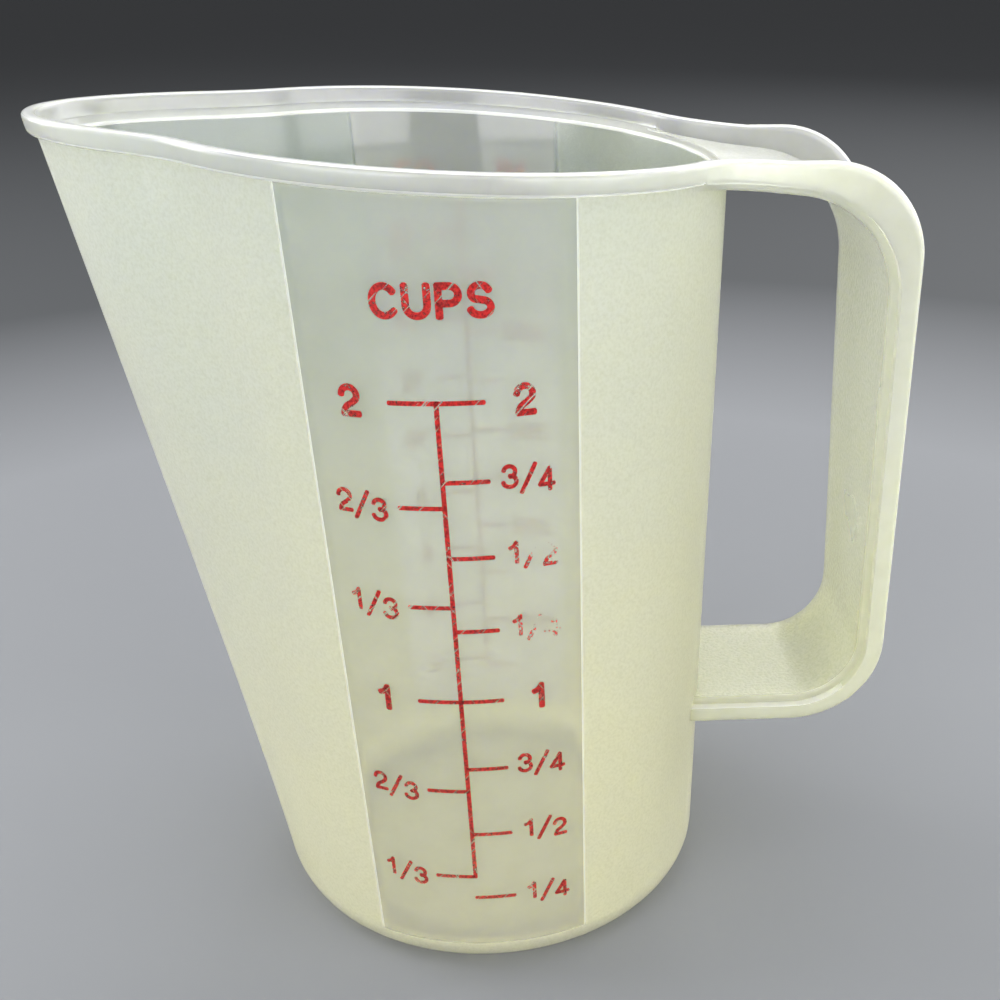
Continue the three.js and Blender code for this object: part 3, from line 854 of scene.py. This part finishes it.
def inside_offset(height):
    below = max(0, FLOOR + inner_round - height)
    return math.sqrt(inner_round**2 - below**2) - FOOT_ROUND


def fill_heights(volumes):
    """Heights over the table that volumes in millilitres reach inside the jug."""
    slice_height = 0.1 * MM
    millilitre = 1e-6
    angles = np.linspace(0, 2 * math.pi, ROUND_POINTS)
    levels = np.arange(FLOOR, RIM_HEIGHT, slice_height)
    areas = []
    for level in levels + slice_height / 2:
        x, y = plan_point(angles, level / RIM_HEIGHT, inside_offset(level))
        areas.append(abs(np.sum(x[:-1] * y[1:] - x[1:] * y[:-1])) / 2)
    filled = np.cumsum(areas) * slice_height / millilitre
    return np.interp(volumes, filled, levels + slice_height)


def arc(x, y, wide, high, start, end):
    """Points of a drawn arc in a letter's own square."""
    turns = np.radians(np.linspace(start, end, ARC_POINTS))
    return [(x + wide * math.cos(t), y + high * math.sin(t)) for t in turns]


GLYPHS = {
    "0": (0.58, [arc(0.29, 0.5, 0.29, 0.5, 90, 450)]),
    "1": (0.34, [[(0.3, 0), (0.3, 1)], [(0.02, 0.74), (0.17, 0.8), (0.27, 0.95)]]),
    "2": (0.6, [
        arc(0.3, 0.7, 0.29, 0.3, 172, -28) + arc(0.62, -0.02, 0.56, 0.46, 117, 172),
        [(0.06, 0), (0.6, 0)]]),
    "3": (0.6, [arc(0.29, 0.74, 0.26, 0.26, 165, -80), arc(0.29, 0.26, 0.3, 0.27, 85, -168)]),
    "4": (0.64, [[(0.46, 1), (0, 0.27)], [(0.02, 0.25), (0.64, 0.25)], [(0.47, 0), (0.47, 0.98)]]),
    "5": (0.58, [
        [(0.12, 1), (0.54, 1)],
        [(0.12, 0.96), (0.06, 0.5)],
        arc(0.28, 0.31, 0.29, 0.31, 142, -165)]),
    "6": (0.58, [arc(0.4, 0.36, 0.4, 0.64, 72, 190), arc(0.29, 0.31, 0.29, 0.31, 180, 540)]),
    "8": (0.6, [arc(0.3, 0.76, 0.25, 0.24, -90, 270), arc(0.3, 0.27, 0.3, 0.27, 90, 450)]),
    "/": (0.5, [[(0, 0), (0.5, 1)]]),
    "C": (0.74, [arc(0.4, 0.5, 0.4, 0.5, 42, 318)]),
    "U": (0.72, [[(0, 1), (0, 0.36)] + arc(0.36, 0.36, 0.36, 0.36, 180, 360) + [(0.72, 1)]]),
    "P": (0.64, [
        [(0, 0), (0, 1)],
        [(0, 1), (0.34, 1)] + arc(0.36, 0.71, 0.29, 0.29, 90, -90) + [(0.03, 0.42)]]),
    "S": (0.7, [arc(0.35, 0.74, 0.3, 0.26, 25, 225) + arc(0.35, 0.26, 0.34, 0.26, 60, -160)]),
    "O": (0.78, [arc(0.39, 0.5, 0.39, 0.5, 90, 450)]),
    "Z": (0.62, [[(0.02, 1), (0.6, 1)], [(0.6, 0.98), (0.02, 0.02)], [(0, 0), (0.62, 0)]]),
    "M": (0.8, [
        [(0, 0), (0, 1)], [(0.02, 0.98), (0.4, 0.1)],
        [(0.4, 0.1), (0.78, 0.98)], [(0.8, 1), (0.8, 0)]]),
    "L": (0.54, [[(0, 1), (0, 0)], [(0, 0), (0.54, 0)]]),
}


def even_line(points, spacing):
    """The same line with a point at every spacing."""
    points = np.array(points, dtype=float)
    lengths = np.hypot(*np.diff(points, axis=0).T)
    apart = lengths > NO_LENGTH
    x, y = points[np.concatenate([[True], apart])].T
    run = np.concatenate([[0], np.cumsum(lengths[apart])])
    count = max(FEWEST_CUTS, math.ceil(run[-1] / spacing))
    stops = np.linspace(0, run[-1], count + 1)
    return np.stack([np.interp(stops, run, x), np.interp(stops, run, y)], axis=-1), stops


def ink_stroke(points, width):
    """One flat stroke of ink: a strip of faces along a line, with its square ends a little rounded."""
    points = np.array(points, dtype=float)
    closed = np.allclose(points[0], points[-1])
    if not closed:
        for end, before in ((0, 1), (-1, -2)):
            outward = points[end] - points[before]
            points[end] += outward / np.hypot(*outward) * width / 2
    line, run = even_line(points, width / CUTS_PER_WIDTH)
    heading = np.gradient(line, axis=0)
    if closed:
        heading[0] = heading[-1] = line[1] - line[-2]
    heading /= np.hypot(*heading.T)[:, None]
    across = np.stack([-heading[:, 1], heading[:, 0]], axis=-1)
    half = np.full(len(line), width / 2)
    if not closed:
        corner = width * END_ROUND
        inset = np.clip(corner - np.minimum(run, run[-1] - run), 0, corner)
        half -= corner - np.sqrt(corner**2 - inset**2)
    bpy.ops.object.select_all(action="DESELECT")
    bpy.ops.mesh.primitive_grid_add(x_subdivisions=2, y_subdivisions=len(line) - 1, size=1)
    strip = bpy.context.object
    flat = mesh_points(strip)
    row = np.rint((flat[:, 1] + 0.5) * (len(line) - 1)).astype(int)
    places = line[row] - across[row] * (2 * flat[:, 0] * half[row])[:, None]
    move_points(strip, np.stack([places[:, 0], places[:, 1], 0 * row], axis=-1))
    return strip


def centred(text, height, stroke, x, z, gap):
    """Strokes of a line of text about a middle, as pairs of a line and its width."""
    size = height - stroke
    lines, start = [], 0.0
    for letter in text:
        wide, drawn = GLYPHS[letter]
        lines += [np.array(line) * size + (start + stroke / 2, stroke / 2) for line in drawn]
        start += wide * size + stroke + gap
    width = start - gap
    return [(line + (x - width / 2, z - height / 2), stroke) for line in lines]


def fraction(text, x, z):
    """A stepped fraction: the first number a little high, the slash, the second a little low."""
    first, second = text.split("/")
    return [
        *centred(first, FRACTION_HEIGHT, FRACTION_STROKE, x - FRACTION_SPREAD, z + FRACTION_STEP, 0),
        *centred("/", SLASH_HEIGHT, FRACTION_STROKE, x, z, 0),
        *centred(second, FRACTION_HEIGHT, FRACTION_STROKE, x + FRACTION_SPREAD, z - FRACTION_STEP, 0)]


def label(text, x, z):
    return fraction(text, x, z) if "/" in text else centred(text, NUMBER_HEIGHT, NUMBER_STROKE, x, z, 0)


def print_on_wall(name, strokes, stem):
    """Draws strokes flat, joins them, and wraps them on the wall about a stem line."""
    strips = [ink_stroke(line, width) for line, width in strokes]
    bpy.ops.object.select_all(action="DESELECT")
    for strip in strips:
        strip.select_set(True)
    bpy.context.view_layer.objects.active = strips[0]
    bpy.ops.object.join()
    film = added(name)
    flat = mesh_points(film)
    angle = stem + flat[:, 0] / wall_radius(stem, flat[:, 1] / RIM_HEIGHT)
    move_points(film, wall_point(angle, LIFT - PANEL_SINK, flat[:, 1], 0 * angle))
    edit(film, weld)
    thickness = film.modifiers.new("film", "SOLIDIFY")
    thickness.thickness = FILM
    thickness.offset = 1
    bpy.context.view_layer.objects.active = film
    bpy.ops.object.modifier_apply(modifier=thickness.name)
    return film


front_stem = -STEM_ANGLE
quarters = [
    ("2", 2), ("3/4", 1.75), ("1/2", 1.5), ("1/4", 1.25),
    ("1", 1), ("3/4", 0.75), ("1/2", 0.5), ("1/4", 0.25)]
thirds = [("2", 2), ("2/3", 5 / 3), ("1/3", 4 / 3), ("1", 1), ("2/3", 2 / 3), ("1/3", 1 / 3)]


def tick(level, reach):
    return np.array([(0, level), (reach, level)]), STROKE


def stem_line(low, high):
    return np.array([(0, low), (0, high)]), STROKE


ladder_strokes = [stem_line(*fill_heights([CUP / 3, 2 * CUP]))]
number_strokes = []
for side, marks in ((1, quarters), (-1, thirds)):
    for text, cups in marks:
        level = fill_heights(cups * CUP)
        ladder_strokes.append(tick(level, side * TICK))
        number_strokes += label(text, side * LABEL_REACH, level)
heading_strokes = centred(
    "CUPS", HEADING_HEIGHT, HEADING_STROKE, HEADING_MIDDLE, HEADING_LEVEL, HEADING_GAP)

INK_DARK = (0.17, 0.005, 0.005, 1)
INK_BRIGHT = (0.43, 0.015, 0.013, 1)
INK_SCATTER = (1.0, 0.3, 0.3)
INK_SCATTER_LENGTH = 3 * FILM
INK_MILKINESS = 0.4
INK_GLOSS = 0.25
INK_DULLNESS = 0.4
SPECKLE_DULLNESS = 0.2
SPECKLE_CONTRAST = 4
SPECKLE_SIZE = 0.4 * MM
SPECKLE_DETAIL = 3
SPECKLE_SHARE = 0.7
PATCH_SIZE = 4 * MM
PATCH_SHARE = 0.5
SCRATCHES = (
    {"turn": 0.75, "length": 7 * MM, "width": 0.3 * MM, "least": 0.63},
    {"turn": -0.6, "length": 5 * MM, "width": 0.25 * MM, "least": 0.66})
SCRATCH_CONTRAST = 20
SCRATCH_WEAR = 0.9
RUBBED_CUPS = (1.5, 1.25)
RUBBED_REACHES = (5 * MM, 6 * MM)
RUBBED_WEAR = 0.33
WEAR_LEVEL = 0.42
WEAR_CONTRAST = 14
LOW_COVER = 0.68
COVER_GAIN = 0.36

ink, draw = new_material("worn_red_ink")
place = draw.coordinates()
speckle = place.grain(SPECKLE_SIZE, SPECKLE_DETAIL)
patch = place.grain(PATCH_SIZE)


def scratched_by(turn, length, width, least):
    return ((place.scratches(turn, length, width) - least) * SCRATCH_CONTRAST).clamped()


def rubbed_near(cups, reach):
    """Worn spot about the number that stands at a mark of the quarters."""
    level = fill_heights(cups * CUP)
    angle = front_stem + (LABEL_REACH + MM) / wall_radius(front_stem, level / RIM_HEIGHT)
    return place.near(tuple(wall_point(angle, 0, level + MM, 0)), reach)


first_scratches, second_scratches = [scratched_by(**scratch) for scratch in SCRATCHES]
first_rubbed, second_rubbed = [rubbed_near(*spot) for spot in zip(RUBBED_CUPS, RUBBED_REACHES)]
whole = speckle * SPECKLE_SHARE + patch * PATCH_SHARE - WEAR_LEVEL
whole -= (first_rubbed + second_rubbed) * RUBBED_WEAR
unscratched = (1 - (first_scratches + second_scratches) * SCRATCH_WEAR).clamped()
cover = (LOW_COVER + place.axis("Z") * (COVER_GAIN / RIM_HEIGHT)).clamped()
set_surface(ink, draw.node("ShaderNodeBsdfPrincipled", {}, {
    "Base Color": ((speckle - 0.5) * SPECKLE_CONTRAST + 0.5).clamped().mixed(INK_DARK, INK_BRIGHT),
    "Roughness": INK_DULLNESS + speckle * SPECKLE_DULLNESS,
    "Specular IOR Level": INK_GLOSS,
    "Subsurface Weight": INK_MILKINESS,
    "Subsurface Radius": INK_SCATTER,
    "Subsurface Scale": INK_SCATTER_LENGTH,
    "Alpha": (whole * WEAR_CONTRAST).clamped() * unscratched * cover}))


def finish_print(film, *nodes):
    film.data.materials.clear()
    film.data.materials.append(ink)
    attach(film, "root")
    if nodes:
        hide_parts(*nodes)


finish_print(print_on_wall("front_ladder", ladder_strokes, front_stem), "front_scale", "front_quarter_mark")
finish_print(print_on_wall("front_numbers", number_strokes, front_stem))
finish_print(print_on_wall("front_heading", heading_strokes, front_stem))

# The printed rear scale
# The same red ink screened on to the rear panel: a stem with millilitres on the handle's side and fluid
# ounces on the spout's side. Through the jug it is only a soft shadow.

MILLILITRES = range(50, 501, 50)
OUNCES = range(2, 17, 2)
OUNCE = CUP / 8
REAR_HEIGHT = 3.9 * MM
REAR_STROKE = 0.7 * MM
REAR_GAP = 0.35 * MM
REAR_HEADING_LEVEL = 119.4 * MM
ML_MIDDLE = -0.8 * LABEL_REACH
OZ_MIDDLE = 0.65 * LABEL_REACH
NUMBERED = 100

rear_ladder_strokes = [stem_line(*fill_heights([MILLILITRES[0], MILLILITRES[-1]]))]
rear_number_strokes = [
    *centred("ML", NUMBER_HEIGHT, NUMBER_STROKE, ML_MIDDLE, REAR_HEADING_LEVEL, REAR_GAP),
    *centred("OZ", NUMBER_HEIGHT, NUMBER_STROKE, OZ_MIDDLE, REAR_HEADING_LEVEL, REAR_GAP)]
for volume in MILLILITRES:
    level = fill_heights(volume)
    rear_ladder_strokes.append(tick(level, -TICK))
    if volume % NUMBERED == 0:
        rear_number_strokes += centred(str(volume), REAR_HEIGHT, REAR_STROKE, -LABEL_REACH, level, REAR_GAP)
for ounces in OUNCES:
    level = fill_heights(ounces * OUNCE)
    rear_ladder_strokes.append(tick(level, TICK))
    rear_number_strokes += centred(str(ounces), REAR_HEIGHT, REAR_STROKE, LABEL_REACH, level, REAR_GAP)
finish_print(print_on_wall("rear_ladder", rear_ladder_strokes, STEM_ANGLE), "rear_scale")
finish_print(print_on_wall("rear_numbers", rear_number_strokes, STEM_ANGLE))

# The table
# A plain matt sheet that the jug stands on, larger than the view. Its colour is a painted pool of light:
# pale around the jug and dark far away, so that it is the backdrop too.

TABLE_SIZE = 16
PALE_PAPER = (0.18, 0.187, 0.199, 1)
DARK_PAPER = (0.042, 0.045, 0.049, 1)
PAINTED_POOL_REACH = 0.44
PAINTED_POOL_CONTRAST = 2.2
PAPER_DULLNESS = 0.8

bpy.ops.object.select_all(action="DESELECT")
bpy.ops.mesh.primitive_plane_add(size=TABLE_SIZE)
table = added("table")
paper, draw = new_material("pale_paper")
place = draw.coordinates()
# Painted pool of light: the sheet fades from pale near the jug to dark far away.
painted_pool_share = (place.near((0, 0, 0), PAINTED_POOL_REACH) * PAINTED_POOL_CONTRAST).clamped()
set_surface(paper, draw.node("ShaderNodeBsdfPrincipled", {}, {
    "Base Color": painted_pool_share.mixed(DARK_PAPER, PALE_PAPER),
    "Roughness": PAPER_DULLNESS}))
table.data.materials.append(paper)

# The light
# A dim room with broad soft lamps: two in front, one on each side, and weak ones overhead and behind. The
# left side lamp is stronger than the right one, so the shadow falls to the right.

ROOM_COLOUR = (0.9, 0.92, 0.95, 1)
ROOM_STRENGTH = 0.3
LAMP_AIM = Vector((0, 0, 0.07))

world = bpy.data.worlds.new("soft_room")
bpy.context.scene.world = world
world.use_nodes = True
background = world.node_tree.nodes["Background"]
background.inputs["Color"].default_value = ROOM_COLOUR
background.inputs["Strength"].default_value = ROOM_STRENGTH


def lamp(name, place, size, power):
    bpy.ops.object.light_add(type="AREA", location=place)
    made = bpy.context.object
    made.name = name
    made.data.size = size
    made.data.energy = power
    made.rotation_euler = (LAMP_AIM - Vector(place)).to_track_quat("-Z", "Y").to_euler()


lamp("key_lamp", place=(-0.55, -0.8, 0.4), size=0.9, power=13)
lamp("top_lamp", place=(-0.1, 0.15, 0.8), size=0.8, power=4)
lamp("left_lamp", place=(-0.9, 0.3, 0.5), size=0.6, power=8.8)
lamp("fill_lamp", place=(0.75, -0.6, 0.25), size=1.0, power=15)
lamp("right_lamp", place=(0.75, 0.4, 0.45), size=0.6, power=5.2)
lamp("rear_lamp", place=(0.4, 1.0, 0.7), size=0.7, power=4)

# The camera
# It looks down on the front of the jug from close by. Where it stands, how it is turned and where its axis
# meets the picture are fitted to the jug's outline.

PICTURE = 1000
SENSOR = 36
NEAREST = 0.01
YAW = 0.0512
PITCH = 0.4810
ROLL = -0.0034
FOCAL = 1217.49
AXIS_RIGHT = 89.45
AXIS_DOWN = 67.15
STAND = Vector((9.0193, -193.4840, 158.6353)) * MM
right = Vector((math.cos(YAW), -math.sin(YAW), 0))
ahead = Vector((math.sin(YAW), math.cos(YAW), 0))
overhead = Vector((0, 0, 1))
forward = ahead * math.cos(PITCH) - overhead * math.sin(PITCH)
upward = ahead * math.sin(PITCH) + overhead * math.cos(PITCH)
picture_right = right * math.cos(ROLL) + upward * math.sin(ROLL)
picture_up = upward * math.cos(ROLL) - right * math.sin(ROLL)
camera_data = bpy.data.cameras.new("camera")
camera_data.sensor_width = SENSOR
camera_data.lens = SENSOR * FOCAL / PICTURE
camera_data.shift_x = -AXIS_RIGHT / PICTURE
camera_data.shift_y = AXIS_DOWN / PICTURE
camera_data.clip_start = NEAREST
camera = bpy.data.objects.new("camera", camera_data)
bpy.context.collection.objects.link(camera)
turned = Matrix((picture_right, picture_up, -forward)).transposed().to_4x4()
camera.matrix_world = Matrix.Translation(STAND) @ turned
bpy.context.scene.camera = camera
bpy.context.scene.view_settings.view_transform = "Standard"
